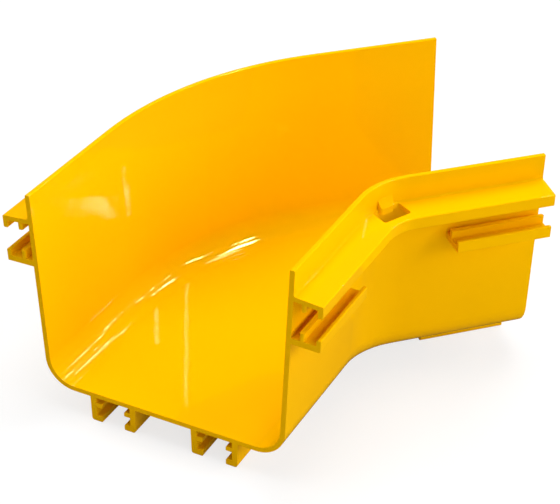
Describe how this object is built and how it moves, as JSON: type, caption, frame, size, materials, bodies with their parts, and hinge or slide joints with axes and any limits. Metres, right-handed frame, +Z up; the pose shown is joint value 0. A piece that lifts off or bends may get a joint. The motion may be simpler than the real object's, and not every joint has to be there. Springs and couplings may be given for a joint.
{
  "type": "fibre raceway horizontal elbow",
  "caption": "Open-top 45 degree horizontal elbow for a fibre raceway, with cover ledges, snap catches, and joiner rails at both mouths.",
  "frame": {"origin": "middle of the near mouth, on the underside of the floor", "axes": "+Y runs from the near mouth into the fitting, +X points to the inside of the bend, +Z is up; the far mouth faces 45 degrees between +Y and +X"},
  "size_m": [0.2116, 0.2417, 0.1132],
  "materials": {
    "yellow_plastic": "moulded gloss"
  },
  "bodies": {
    "root": {"raceway_elbow": "yellow_plastic"}
  },
  "joints": []
}
